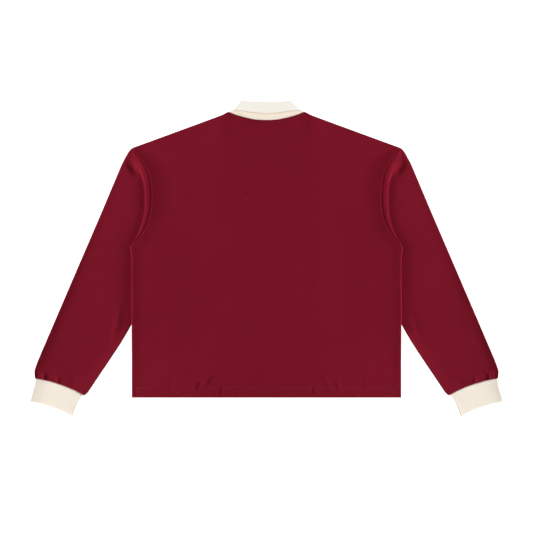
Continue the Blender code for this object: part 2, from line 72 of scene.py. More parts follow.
# ---- layers, as heights of outer faces above the table ----
BACK_TOP = 0.0034
SLEEVE_TOP = 0.0036
SLEEVE_LIFT = 0.0039  # how far the sleeve under it lifts the body's edge
SLEEVE_LIFT_LOW = (0.07, 0.165)  # none at the first height, all at the second
SLEEVE_LIFT_HIGH = (0.42, 0.345)
LIFT_OUTER = 0.012  # it fades from here, in from the body's side
BACK_LIFT_INNER = 0.17  # to here on the back, which bridges more
FRONT_LIFT_INNER = 0.1
PRESSED = 0.0008  # how much thinner the sleeve lies under the body
HEM_LIFT = 0.0004
HEM_FADE = 0.0022  # it runs out over this much either side of the hem's inner edge
COLLAR_LIFT = 0.002  # how far the collar's leaves lift the body at the neck
COLLAR_LIFT_HEIGHT = (0.4, 0.475)
COLLAR_LIFT_OUT = (0.15, 0.088)

# ---- edges and seams ----
LIP_WIDTH = 0.0015  # how far in a sewn edge starts to round off
SIDE_SOFT = 0.0006  # the body's side rounds off softly too
SIDE_SOFT_WIDTH = 0.009
LIP_GAP = 0.0002  # half the groove between two lips
SEAM_SINK = 0.0007  # how deep the sleeve dips into the armhole seam
BODY_SINK = 0.0005  # and the body
SEAM_SINK_WIDTH = 0.0014
BANK_CURVE = 1.6  # how an edge that stands up eases down: 1 is a straight slope
BODY_CURVE = 1.75  # and at the body's sides
DIP_REACH = 0.019  # over which the sleeve dips beside the body
ALLOWANCE = 0.003  # the sleeve's seam allowance, tucked in under the back
ALLOWANCE_FADE = 0.02  # it widens to that over this height below the shoulder
TUCK_BETWEEN = 0.003  # it lies on the front where the seam is further than this above its lower face
TUCK_CLEAR = 0.0018  # this far above its upper face; elsewhere under it
TUCK_TURN = 0.4  # the share of it that turns down
SINK_LIMIT = 0.4  # the sleeve's dip is at most this share of its height
BACK_HEM_ROUND = 0.0012  # how deep the hem's edge rounds off
FRONT_HEM_ROUND = 0.0007
NECK_ROUND = (0.0016, 0.0008)  # width and depth
HEM_GROOVE = (-0.0001, 0.0016)  # along stitches: rise and width
NECK_GROOVE = (-0.0009, 0.001)
NECK_BAND = (0.0009, 0.0012)  # the cloth above the neck's stitches: rise and fade
NECK_ENDS = (0.002, -0.004)  # both end between these, out from the neck point
FRONT_RIDGE = (0.0005, 0.0026)  # the hem's inner edge, on the front: rise and width
FRONT_RIDGE_ABOVE = 0.0008

# ---- collar ----
STAND_TOP = 0.0049
STAND_BOTTOM = COLLAR_LIFT
COLLAR_INSET = 0.0016  # how far in from the neck point it is sewn on
COLLAR_CLEAR = 0.0009  # how much further from the neckline it is at its sides
FALL_TOP = 0.0067
STAND_TUCK = 0.0072
FALL_BOW = 0.0071
FOLD_BOW = 0.0033
FRONT_STAND = 0.02
FRONT_GAP = 0.0008
FOLD_CORNER = (0.0552, 0.6554)
FALL_CORNER = (0.0751, 0.6339)  # where the back free edge turns over the side
LEAF_CORNER = (0.0783, 0.6322)  # and where it comes out on the front
FALL_LEAF = ((0.079, 0.608), (0.0775, 0.576), (0.0705, 0.538), (0.052, 0.487))
SIDE_OUT = np.array((0.9, 0.44))  # which way the collar faces at its sides
FOLD_ROUND = (0.0026, 0.0014)  # width and depth
FREE_EDGE_ROUND = (0.0009, 0.0005)
STAND_ROUND = (0.0014, 0.0005)
FREE_EDGE_CURL = 0.0005  # how far the free edge stands up
FREE_EDGE_REACH = 0.006
FALL_WAVE = (0.00025, 9.0, 26.0)  # its unevenness: height and two rates
UNDERCUT = 0.0019  # how deep the stand sinks below it
UNDERCUT_SIDE = 0.5  # how much less at its sides
UNDERCUT_WIDTH = 0.0013
UNDERCUT_SHORT = 0.0006  # deepest this far towards the seam from the free edge
STAND_RIB_PITCH = 0.0034
STAND_RIB_DEPTH = 0.0001

# ---- cuff ----
CUFF_TOP = 0.0042
CUFF_CROWN = 0.0003
CUFF_BANK = 0.0009  # how far its outer edge stands up
CUFF_BANK_REACH = 0.024
CUFF_BOW = 0.0052
CUFF_INSET_OUTER = 0.0006
CUFF_INSET_INNER = 0.0035
CUFF_WAIST_OUTER = 0.0008
CUFF_WAIST_INNER = 0.003
CUFF_WAIST_PLACE = 0.7  # below 1 its sides curve in most nearer the sleeve
CUFF_CROWN_CURVE = 0.8  # below 1 it is fuller near its edges
CUFF_ROUND = (0.0018, 0.0008)  # its ends: width and depth
CUFF_END_OUTER = (0.5225, -0.0088)
CUFF_END_INNER = (0.4275, -0.0418)
CUFF_RIB_PITCH = 0.0023
CUFF_RIB_DEPTH = 0.00016

Y_MIDDLE = (FOLD_CORNER[1] + CUFF_END_INNER[1]) / 2

# One row for each section of the sleeve that ends at the armhole seam, from the shoulder down.
# A sleeve rises by crown, then dips before it meets the roll or the body.
# lip is how sharply the roll starts: 1 is an overhanging lip, 0 an even slope.
# Rows of five share the last three values, given as defaults.
Armhole = namedtuple("Armhole", "seam_x seam_height outer_height roll rise lip crown dip",
                     defaults=(1.0, 0.0008, 0.0012))
ARMHOLE = [Armhole(*row) for row in (
    (SHOULDER_WIDTH / 2, SHOULDER_HEIGHT, 0.5456, 0.002, 0.0008, 0.0, 0.0, 0.0),
    (0.2884, 0.54, 0.533, 0.008, 0.0014, 0.0, 0.0003, 0.0),
    (0.278, 0.5276, 0.5155, 0.0165, 0.0023, 0.0, 0.0006, 0.0),
    (0.2671, 0.51, 0.4968, 0.016, 0.0027, 0.1, 0.0008, 0.0004),
    (0.2587, 0.4902, 0.4792, 0.0143, 0.003, 0.6, 0.0008, 0.0008),
    (0.2536, 0.4638, 0.4572, 0.013, 0.0034),
    (0.2525, 0.4352, 0.4308, 0.0126, 0.0033),
    (0.2554, 0.4088, 0.4055, 0.0116, 0.0032),
    (0.2609, 0.3846, 0.3824, 0.0108, 0.0031),
    (0.2688, 0.3692, 0.367, 0.0086, 0.0032),
    (0.2768, 0.356, 0.3505, 0.006, 0.0024),
    (0.2885, 0.3428, 0.334, 0.0034, 0.0006),
    (0.2996, UNDERARM_HEIGHT, 0.3208, 0.0025, 0.0),
)]
ARMHOLE_CREST = 0.62
UNDERARM_TUCK = 0.003
ROLL_LIMIT = 0.5  # a roll is at most this share of the section's width
FOLD_LIMIT = 2.5  # a folded edge is at most the width divided by this
ROLL_SLOPE = (-0.3, 1.1)  # where an even slope starts and ends across the roll
CREASE_FADE = (0.006, 0.001)  # creases end this far from a folded edge and from the seam

# One row for each section of the sleeve that is a closed tube, from the underarm to the cuff.
# crest is where the crown is reached, as a share of what shows.
Forearm = namedtuple("Forearm", "outer_height inner_x inner_height crown crest dip bow")
FOREARM = [Forearm(*row) for row in (
    (0.306, 0.288, 0.3164, 0.0008, 0.7, 0.0012, 0.0),
    (0.289, 0.276, 0.2966, 0.0008, 0.76, 0.0013, 0.0),
    (0.27, 0.269, 0.2702, 0.0009, 0.8, 0.0013, 0.0),
    (0.249, 0.267, 0.2438, 0.0009, 0.8, 0.0013, 0.0),
    (0.228, 0.27, 0.2218, 0.0009, 0.8, 0.0013, 0.0),
    (0.2075, 0.278, 0.202, 0.0009, 0.8, 0.0012, 0.0),
    (0.169, 0.2968, 0.1613, 0.0009, 0.8, 0.0011, 0.0),
    (0.136, 0.3168, 0.1261, 0.0008, 0.8, 0.0, 0.0004),
    (0.103, 0.3437, 0.0847, 0.0008, 0.8, 0.0, 0.0012),
    (0.0755, 0.367, 0.0502, 0.0007, 0.8, 0.0, 0.0026),
    (0.0568, 0.3862, 0.0216, 0.0006, 0.8, 0.0, 0.0042),
    (0.048, 0.3944, 0.0101, 0.0005, 0.8, 0.0, 0.0052),
    (0.0427, 0.401, 0.0048, 0.0004, 0.8, 0.0, 0.0055),
)]

OUTER_EDGE = [
    (0.3, 0.5456), (0.3046, 0.5392), (0.3092, 0.5312), (0.3137, 0.523), (0.3181, 0.5146),
    (0.3222, 0.5052), (0.3265, 0.495), (0.3656, 0.4022), (0.411, 0.2966), (0.4563, 0.191),
    (0.479, 0.138), (0.5014, 0.0854), (0.5073, 0.07), (0.5108, 0.0568), (0.51, 0.0427),
]

# Edges stand up and ease down to the flat cloth: a height along the edge, the rise and reach there.
OUTER_BANK = [
    (0.0427, 0.0005, 0.018), (0.06, 0.0011, 0.021), (0.085, 0.0015, 0.022), (0.14, 0.0015, 0.022),
    (0.237, 0.0014, 0.02), (0.316, 0.0008, 0.016), (0.435, 0.0003, 0.01), (0.54, 0.0003, 0.01),
]
INNER_BANK = [
    (0.0427, 0.0012, 0.022), (0.0755, 0.0023, 0.027), (0.136, 0.002, 0.026), (0.169, 0.0003, 0.02),
    (0.2075, 0.0, 0.02),
]
BODY_BANK = [
    (0.0, 0.0006, 0.014), (0.03, 0.0012, 0.02), (0.1, 0.002, 0.024), (0.16, 0.0022, 0.026),
    (0.32, 0.0022, 0.028), (0.36, 0.0025, 0.036), (0.3846, 0.0032, 0.042), (0.4088, 0.004, 0.046),
    (0.4352, 0.0045, 0.048), (0.49, 0.0049, 0.048), (0.51, 0.0048, 0.046), (0.5276, 0.0041, 0.038),
    (0.55, 0.0008, 0.02), (0.56, 0.0, 0.02),
]

# The roll's profile from its lip to the seam: place across it and share of its rise.
ROLL_PROFILE = (
    (-0.34, 0.0), (-0.18, 0.01), (-0.07, 0.04), (-0.02, 0.16), (-0.02, 0.4), (-0.03, 0.62),
    (-0.03, 0.76), (-0.02, 0.83), (0.01, 0.865), (0.06, 0.89), (0.16, 0.925), (0.31, 0.965),
    (0.47, 0.99), (0.63, 1.0), (0.79, 0.99), (0.9, 0.97), (1.0, 0.94),
)

CREASE_TAPER = 0.7  # below 1 a crease stays high for longer before it ends
# Soft ridges (rise above zero) and troughs (below): the line each follows, its rise and width.
BACK_CREASES = [
    # beside the neck
    (((-0.078, 0.633), (-0.074, 0.615), (-0.079, 0.595)), -0.0015, 0.0085),
    (((0.078, 0.633), (0.074, 0.616), (0.078, 0.598)), -0.0015, 0.0085),
    (((-0.118, 0.62), (-0.101, 0.599), (-0.096, 0.57)), 0.0015, 0.011),
    (((0.112, 0.618), (0.101, 0.595), (0.098, 0.56)), 0.0017, 0.012),
    # the pucker and the pull beside the small bump
    (((-0.04, 0.4345), (0.006, 0.428)), 0.001, 0.013),
    (((-0.039, 0.4225), (-0.024, 0.419), (-0.008, 0.421)), -0.0006, 0.0042),
    # up from the hem
    (((-0.2871, 0.006), (-0.2868, 0.024)), -0.0006, 0.0032),
    (((-0.2123, 0.01), (-0.212, 0.04)), -0.0009, 0.0034),
    (((-0.2178, 0.012), (-0.2172, 0.038)), 0.0006, 0.0034),
    (((-0.1525, 0.015), (-0.149, 0.037)), -0.0013, 0.0034),
    (((-0.158, 0.016), (-0.1545, 0.036)), 0.0008, 0.0034),
    (((-0.1338, 0.019), (-0.115, 0.05)), -0.0013, 0.0036),
    (((-0.139, 0.022), (-0.12, 0.053)), 0.0009, 0.0036),
    (((-0.1001, 0.004), (-0.1, 0.025)), -0.0017, 0.0036),
    (((0.1001, 0.004), (0.1, 0.024)), -0.0017, 0.0036),
    (((0.1338, 0.019), (0.112, 0.051)), -0.0013, 0.0036),
    (((0.139, 0.022), (0.117, 0.054)), 0.0009, 0.0036),
    (((0.156, 0.013), (0.148, 0.037)), -0.0013, 0.0034),
    (((0.161, 0.015), (0.153, 0.038)), 0.0008, 0.0034),
    (((0.2101, 0.013), (0.21, 0.041)), -0.0009, 0.0034),
    (((0.2893, 0.006), (0.289, 0.024)), -0.0006, 0.0032),
    # the hem between them stands a little proud
    (((-0.2, 0.008), (-0.126, 0.008)), 0.0009, 0.0065),
    (((0.128, 0.008), (0.212, 0.008)), 0.0009, 0.0065),
    # long soft waves down the back
    (((-0.208, 0.36), (-0.214, 0.23), (-0.21, 0.03)), 0.0004, 0.016),
    (((-0.15, 0.52), (-0.156, 0.36), (-0.15, 0.15)), -0.0004, 0.019),
    (((-0.07, 0.42), (-0.066, 0.26), (-0.07, 0.09)), 0.0008, 0.017),
    (((0.01, 0.3), (0.012, 0.17), (0.004, 0.03)), -0.0011, 0.02),
    (((0.108, 0.5), (0.112, 0.33), (0.104, 0.12)), 0.0004, 0.018),
    (((0.168, 0.39), (0.172, 0.24), (0.16, 0.11)), -0.0004, 0.016),
    (((0.212, 0.35), (0.216, 0.2), (0.21, 0.04)), 0.0004, 0.016),
]
# A small round bump: its middle, rise and radius.
BUMP = ((-0.0405, 0.435), 0.0022, 0.008)
BUMP_HIGHLIGHT = 1.1  # painted highlight: how much lighter the cloth is painted on top of the small bump
FRONT_CREASES = [
    (((-0.23, 0.34), (-0.22, 0.18), (-0.226, 0.05)), 0.0008, 0.014),
    (((-0.11, 0.43), (-0.118, 0.27), (-0.106, 0.12)), 0.0006, 0.017),
    (((0.02, 0.39), (0.012, 0.23), (0.022, 0.04)), 0.0007, 0.016),
    (((0.135, 0.41), (0.128, 0.25), (0.138, 0.07)), 0.0006, 0.015),
    (((0.22, 0.31), (0.226, 0.17), (0.216, 0.05)), 0.0008, 0.014),
    (((-0.17, -0.005), (-0.167, 0.03)), 0.0006, 0.004),
    (((-0.03, -0.005), (-0.033, 0.035)), 0.0006, 0.004),
    (((0.09, -0.005), (0.087, 0.03)), 0.0006, 0.004),
    (((0.18, -0.005), (0.184, 0.033)), 0.0006, 0.004),
]
# On both sleeves, with x as the distance out from the centre line.
SLEEVE_CREASES = [
    # the hollow below the shoulder and the pull down from it
    (((0.306, 0.523), (0.2965, 0.508), (0.284, 0.488)), -0.0024, 0.009),
    # eased into the cuff
    (((0.505, 0.042), (0.503, 0.062)), -0.0007, 0.004),
    (((0.4906, 0.036), (0.489, 0.054)), 0.0012, 0.0032),
    (((0.481, 0.036), (0.476, 0.06)), -0.0005, 0.0055),
    (((0.46, 0.029), (0.458, 0.048)), 0.0011, 0.0034),
    (((0.427, 0.018), (0.423, 0.045)), -0.0006, 0.007),
]
OWN_SLEEVE_CREASES = {-1: [
    (((0.307, 0.205), (0.311, 0.175), (0.321, 0.14)), -0.0003, 0.007),
    (((0.323, 0.21), (0.329, 0.16), (0.342, 0.11)), 0.0009, 0.0065),
], 1: [
    (((0.319, 0.19), (0.329, 0.16), (0.342, 0.125)), -0.0007, 0.006),
    (((0.43, 0.21), (0.442, 0.17), (0.446, 0.13)), 0.0005, 0.01),
]}

# ---- stitches ----
STITCH = 0.003
STITCH_REACH = 0.82  # how much of that the thread shows
THREAD = 0.00032
THREAD_FLAT = 0.8  # its height as a share of its width
# Along a stitch: place and thickness.
THREAD_PROFILE = ((-0.5, 0.25), (-0.38, 0.85), (0.0, 1.0), (0.38, 0.85), (0.5, 0.25))
HEM_STITCH_ROWS = (0.0205, 0.0237)
HEM_STITCH_INSET = 0.004  # from the sides
NECK_STITCH = 0.0062  # from the neckline
NECK_STITCH_INSET = 0.003

# ---- meshing ----
ARMHOLE_ROWS = 66
EDGE_STRIP = 0.05  # this far in from the sides the body's columns are closer
MIDDLE_COLUMNS = 74
SLEEVE_STEP = 0.0028  # between its sections
SLEEVE_LAST_COUNTS = [8, 6]
UNDER_POINTS, TURN_POINTS, OVER_POINTS = 24, 9, 46
TURN_ANGLE = 75
OVER_SPREAD = 1.15  # above 1 they are closer together near the outer edge
CUFF_POINTS, CUFF_TURN_POINTS = 300, 28
BACK_COLUMNS, SIDE_COLUMNS, FRONT_COLUMNS = 44, 13, 56
STAND_ROWS = 84
STAND_REACH = 0.97  # the stand stops just short of the fold
HEM_POINTS, NECK_POINTS = 260, 90

# ---- floor, lamps and camera ----
FLOOR_GLOW = 1.0
FLOOR_LEVEL = -0.0003
# Place, aim, size, power and spread of the right-hand lamp of each pair.
SIDE_LAMP = ((1.25, 0.0, 0.14), (0.6, 0.0, 0.0), (1.6, 0.24), 5.35, 18.0)
FILL_LAMP = ((0.19, 0.06, 1.5), (0.19, 0.06, 0.0), (0.1, 1.3), 0.755, 28.0)
STUDIO_LIGHT = 0.12
CAMERA_PLACE = (0.0, -0.0182, 2.772)

SIDES = (("left", -1), ("right", 1))


def ease(value, start, end):
    """0 at start, 1 at end and a smooth S between, whichever of the two is larger."""
    share = np.clip((value - start) / (end - start), 0.0, 1.0)
    return share * share * (3 - 2 * share)


def through(places, values, at):
    """A smooth curve through a table's values that doesn't swing past them."""
    places, values, at = (np.asarray(item, float) for item in (places, values, at))
    steps = np.diff(places)
    rates = np.diff(values) / steps
    slopes = np.concatenate([rates[:1], np.zeros(len(rates) - 1), rates[-1:]])
    together = np.flatnonzero(rates[1:] * rates[:-1] > 0)
    first, second = rates[together], rates[together + 1]
    slopes[together + 1] = 2 * first * second / (first + second)
    at = np.clip(at, places[0], places[-1])
    cell = np.clip(np.searchsorted(places, at, side="right") - 1, 0, len(steps) - 1)
    share = (at - places[cell]) / steps[cell]
    rest = 1 - share
    ends = values[cell] * rest**2 * (1 + 2 * share) + values[cell + 1] * share**2 * (1 + 2 * rest)
    turns = slopes[cell] * rest - slopes[cell + 1] * share
    return ends + steps[cell] * share * rest * turns


def hump(distance, rise, width):
    """A soft ridge along a line, or a groove where rise is below zero."""
    return rise * np.exp(-(distance / width) ** 2)


def relief(x, height, creases):
    """How far the creases raise or sink the cloth at garment points."""
    total = np.zeros(np.shape(x))
    for line, rise, width in creases:
        nearest = np.full(total.shape, np.inf)
        place = np.zeros(total.shape)
        run = 0.0
        for (start_x, start_height), (end_x, end_height) in zip(line, line[1:]):
            across, up = end_x - start_x, end_height - start_height
            length = math.hypot(across, up)
            share = ((x - start_x) * across + (height - start_height) * up) / length**2
            share = np.clip(share, 0.0, 1.0)
            away = np.hypot(x - start_x - share * across, height - start_height - share * up)
            place = np.where(away < nearest, run + share * length, place)
            nearest = np.minimum(away, nearest)
            run += length
        taper = np.maximum(np.sin(np.pi * place / run), 0.0) ** CREASE_TAPER
        total += hump(nearest, rise * taper, width)
    return total


def lip(distance, width, depth):
    """How far an edge has rounded off at a distance in from it."""
    share = np.clip(distance / width, 0.0, 1.0)
    return depth * (1 - np.sqrt(1 - (1 - share) ** 2))


def steps_to(*parts):
    """Places from 0 on, each part given as (where it ends, how many steps)."""
    places = [0.0]
    for end, count in parts:
        start = places[-1]
        places += [start + (end - start) * step / count for step in range(1, count + 1)]
    return np.array(places)


# ---- meshes ----

def run_along(line):
    """How far along a line of points each of them is."""
    return np.concatenate([[0.0], np.linalg.norm(np.diff(line, axis=0), axis=1).cumsum()])


def new_object(name, points, faces, material):
    mesh = bpy.data.meshes.new(name)
    mesh.from_pydata(points, [], faces)
    mesh.materials.append(material)
    item = bpy.data.objects.new(name, mesh)
    bpy.context.scene.collection.objects.link(item)
    return item


def shell(name, grid, uv, wall, material, node, around=False, facing_up=True, thick_rows=0):
    """A cloth piece from a grid of outer-face points, given its wall by Solidify.

    around joins the grid's last column to its first; thick_rows are the rows with the hem's wall."""
    rows, columns = grid.shape[:2]
    index = np.arange(rows * columns).reshape(rows, columns)
    after = np.roll(index, -1, axis=1) if around else index[:, 1:]
    here = index if around else index[:, :-1]
    quads = np.stack([here[:-1], after[:-1], after[1:], here[1:]], axis=-1).reshape(-1, 4)
    if not facing_up:
        quads = quads[:, [0, 3, 2, 1]]
    piece = new_object(name, grid.reshape(-1, 3).tolist(), quads.tolist(), material)
    mesh = piece.data
    layer = mesh.uv_layers.new(name="cloth")
    corners = np.zeros(len(mesh.loops), int)
    mesh.loops.foreach_get("vertex_index", corners)
    layer.data.foreach_set("uv", uv.reshape(-1, 2)[corners].astype(np.float32).ravel())
    mesh.shade_smooth()
    solidify = piece.modifiers.new("wall", "SOLIDIFY")
    solidify.thickness = wall
    solidify.offset = -1
    if thick_rows:
        hem = piece.vertex_groups.new(name="hem")
        hem.add(index[:thick_rows].ravel().tolist(), 1.0, "REPLACE")
        solidify.thickness = HEM_WALL
        solidify.vertex_group = hem.name
        solidify.thickness_vertex_group = wall / HEM_WALL
    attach(piece, "root")
    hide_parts(node)
    return piece


def on_table(x, height, z):
    """Garment points as points in the scene."""
    return np.stack(np.broadcast_arrays(x, height - Y_MIDDLE, z), axis=-1).astype(float)


# ---- body ----

def body_outline():
    """Points up the right-hand edge: the side, the armhole, the shoulder and the neck point."""
    low = steps_to(
        (0.0005, 1), (0.0012, 1), (0.0024, 2), (0.005, 2), (0.029, 18), (UNDERARM_HEIGHT, 60))
    armhole = [row.seam_height for row in reversed(ARMHOLE)]
    heights = [0.0, UNDERARM_HEIGHT - UNDERARM_FLARE] + armhole
    halves = [HEM_WIDTH / 2, HEM_WIDTH / 2] + [row.seam_x for row in reversed(ARMHOLE)]
    climb = np.linspace(UNDERARM_HEIGHT, SHOULDER_HEIGHT, ARMHOLE_ROWS)[1:]
    edge_height = np.concatenate([low, climb])
    edge_x = through(heights, halves, edge_height)
    along = steps_to((0.8, 36), (0.955, 14), (0.992, 8), (1.0, 4))[1:]
    shoulder_x = SHOULDER_WIDTH / 2 + (NECK_WIDTH - SHOULDER_WIDTH) / 2 * along
    shoulder = [(NECK_WIDTH / 2, BODY_LENGTH), SHOULDER_BEND, (SHOULDER_WIDTH / 2, SHOULDER_HEIGHT)]
    line_x, line_height = zip(*shoulder)
    shoulder_height = np.interp(shoulder_x, line_x, line_height)
    return np.concatenate([edge_x, shoulder_x]), np.concatenate([edge_height, shoulder_height])


def body_grid(neck_drop, curve):
    """x, height, the edge's height and the distance in from it, over the body's rows and columns."""
    edge_x, edge_height = body_outline()
    inwards = steps_to((0.0004, 1), (0.001, 1), (0.003, 3), (0.008, 6), (0.02, 9), (EDGE_STRIP, 12))
    inwards = np.concatenate([inwards, np.linspace(EDGE_STRIP, HEM_WIDTH / 2, MIDDLE_COLUMNS)[1:]])
    places = 1 - inwards[::-1] / (HEM_WIDTH / 2)
    places = np.concatenate([-places[:0:-1], places])
    slope = np.abs(np.gradient(edge_height)) / np.hypot(np.gradient(edge_x), np.gradient(edge_height))
    upper = np.maximum(edge_height - UNDERARM_HEIGHT, 0.0) / (BODY_LENGTH - UNDERARM_HEIGHT)
    x = edge_x[:, None] * places
    drop = neck_drop * upper[:, None] ** DROP_SPREAD
    height = edge_height[:, None] - drop * (1 - np.abs(places) ** curve)
    distance = (edge_x[:, None] - np.abs(x)) * slope[:, None]
    return x, height, edge_height[:, None], distance


def body_lift(x, height, inner):
    """How far the sleeve and the collar's leaves under the front hold it off the table."""
    side = HEM_WIDTH / 2
    over_sleeve = ease(np.abs(x), side - inner, side - LIFT_OUTER)
    over_sleeve = over_sleeve * ease(height, *SLEEVE_LIFT_LOW) * ease(height, *SLEEVE_LIFT_HIGH)
    over_collar = ease(height, *COLLAR_LIFT_HEIGHT) * ease(np.abs(x), *COLLAR_LIFT_OUT)
    return SLEEVE_LIFT * over_sleeve + COLLAR_LIFT * over_collar


def neckline(x, drop, curve):
    """The height of the neckline at a distance from the centre line."""
    return BODY_LENGTH - drop * (1 - np.minimum(np.abs(2 * x / NECK_WIDTH), 1.0) ** curve)


def bank(rows, height, distance, curve=BANK_CURVE):
    """How far an edge stands up at a distance in from it: most at the edge, gone at its reach."""
    heights, rises, reaches = zip(*rows)
    rise = through(heights, rises, height)
    reach = through(heights, reaches, height)
    return rise * np.clip(1 - distance / reach, 0.0, 1.0) ** curve


def on_bump(x, height):
    """1 on top of the small bump and 0 away from it."""
    (bump_x, bump_height), _, radius = BUMP
    return hump(np.hypot(x - bump_x, height - bump_height), 1.0, radius)


def back_surface(x, height, edge_height, distance):
    """The back's upper face."""
    side = bank(BODY_BANK, edge_height, distance, BODY_CURVE)
    hem = HEM_LIFT * ease(height, HEM_DEPTH + HEM_FADE, HEM_DEPTH - HEM_FADE)
    stitched = hump(height - HEM_DEPTH, *HEM_GROOVE)
    below_neck = neckline(x, BACK_NECK_DROP, BACK_NECK_CURVE) - height
    at_neck = ease(np.abs(x), *(NECK_WIDTH / 2 + out for out in NECK_ENDS))
    rise, fade = NECK_BAND
    band = at_neck * rise * ease(below_neck, NECK_STITCH + fade, NECK_STITCH - fade)
    rise, width = NECK_GROOVE
    groove = hump(below_neck - NECK_STITCH, at_neck * rise, width)
    top = BACK_TOP + side + hem + stitched + band + groove + relief(x, height, BACK_CREASES)
    top = top + BUMP[1] * on_bump(x, height)
    armhole = (edge_height > UNDERARM_HEIGHT) & (edge_height < SHOULDER_HEIGHT)
    sewn_drop = top - BACK_TOP / 2 - LIP_GAP - SIDE_SOFT
    side_soft = SIDE_SOFT * np.clip(1 - distance / SIDE_SOFT_WIDTH, 0.0, 1.0) ** 2
    sewn = lip(distance, LIP_WIDTH, sewn_drop) + side_soft
    at_edge = np.where(armhole, hump(distance, BODY_SINK, SEAM_SINK_WIDTH), sewn)
    at_hem = lip(height, LIP_WIDTH, BACK_HEM_ROUND)
    at_collar = np.where(np.abs(x) < NECK_WIDTH / 2, lip(below_neck, *NECK_ROUND), 0.0)
    rounded = np.maximum(np.maximum(at_edge, at_hem), at_collar)
    return top - rounded + body_lift(x, height, BACK_LIFT_INNER)


def front_surface(x, height, edge_height, distance):
    """The front's lower face, flat on the table but for its creases and its rounded edges."""
    creases = relief(x, height, FRONT_CREASES)
    sewn = lip(distance, LIP_WIDTH, BACK_TOP / 2 - LIP_GAP)
    at_hem = lip(height, LIP_WIDTH, FRONT_HEM_ROUND)
    ridge = hump(height - HEM_DEPTH - FRONT_RIDGE_ABOVE, *FRONT_RIDGE)
    return creases + ridge + np.maximum(sewn, at_hem) + body_lift(x, height, FRONT_LIFT_INNER)


def make_panel(name, drop, curve, surface, facing_up):
    """The back or the front: surface gives the height of its outer face."""
    x, height, edge_height, distance = body_grid(drop, curve)
    grid = on_table(x, height, surface(x, height, edge_height, distance))
    hem_rows = int(np.sum(edge_height < HEM_DEPTH))
    uv = np.stack([x, height], axis=-1)
    piece = shell(f"{name}_cloth", grid, uv, CLOTH, burgundy, name,
                  facing_up=facing_up, thick_rows=hem_rows)
    if facing_up:
        # The back carries a mask of the small bump, for a highlight painted into its colour.
        bump_highlight_mask = piece.data.attributes.new("bump_highlight_mask", "FLOAT", "POINT")
        bump_highlight_mask.data.foreach_set("value", on_bump(x, height).astype(np.float32).ravel())
    return piece


# ---- sleeves ----

def sleeve_keys():
    """The tables' sections as columns of one array, with the cloth between them filled in."""
    seam = np.array([(row.seam_x, row.seam_height) for row in ARMHOLE])
    along = np.gradient(seam, axis=0)
    outwards = np.stack([-along[:, 1], along[:, 0]], axis=1)
    outwards /= np.linalg.norm(outwards, axis=1)[:, None]
    inset = np.full(len(seam), SEAM_GAP)
    inset[-1] = -UNDERARM_TUCK
    inner = seam + outwards * inset[:, None]

    def both(field, missing=0.0):
        """A field of both tables, with a value for the table that doesn't have it."""
        return [getattr(row, field, missing) for row in ARMHOLE + FOREARM]

    columns = [
        [*inner[:, 0], *(row.inner_x for row in FOREARM)],
        [*inner[:, 1], *(row.inner_height for row in FOREARM)],
        both("outer_height"), both("roll", ARMHOLE[-1].roll), both("rise"), both("lip", 1.0),
        both("crown"), both("crest", ARMHOLE_CREST), both("dip"), both("bow"),
    ]
    keys = np.arange(len(columns[0]))
    falls = [high - low for high, low in zip(columns[2], columns[2][1:])]
    counts = [max(2, round(fall / SLEEVE_STEP)) for fall in falls]
    counts[-2:] = SLEEVE_LAST_COUNTS
    at = steps_to(*((key + 1.0, count) for key, count in enumerate(counts)))
    return at, [through(keys, column, at) for column in columns]


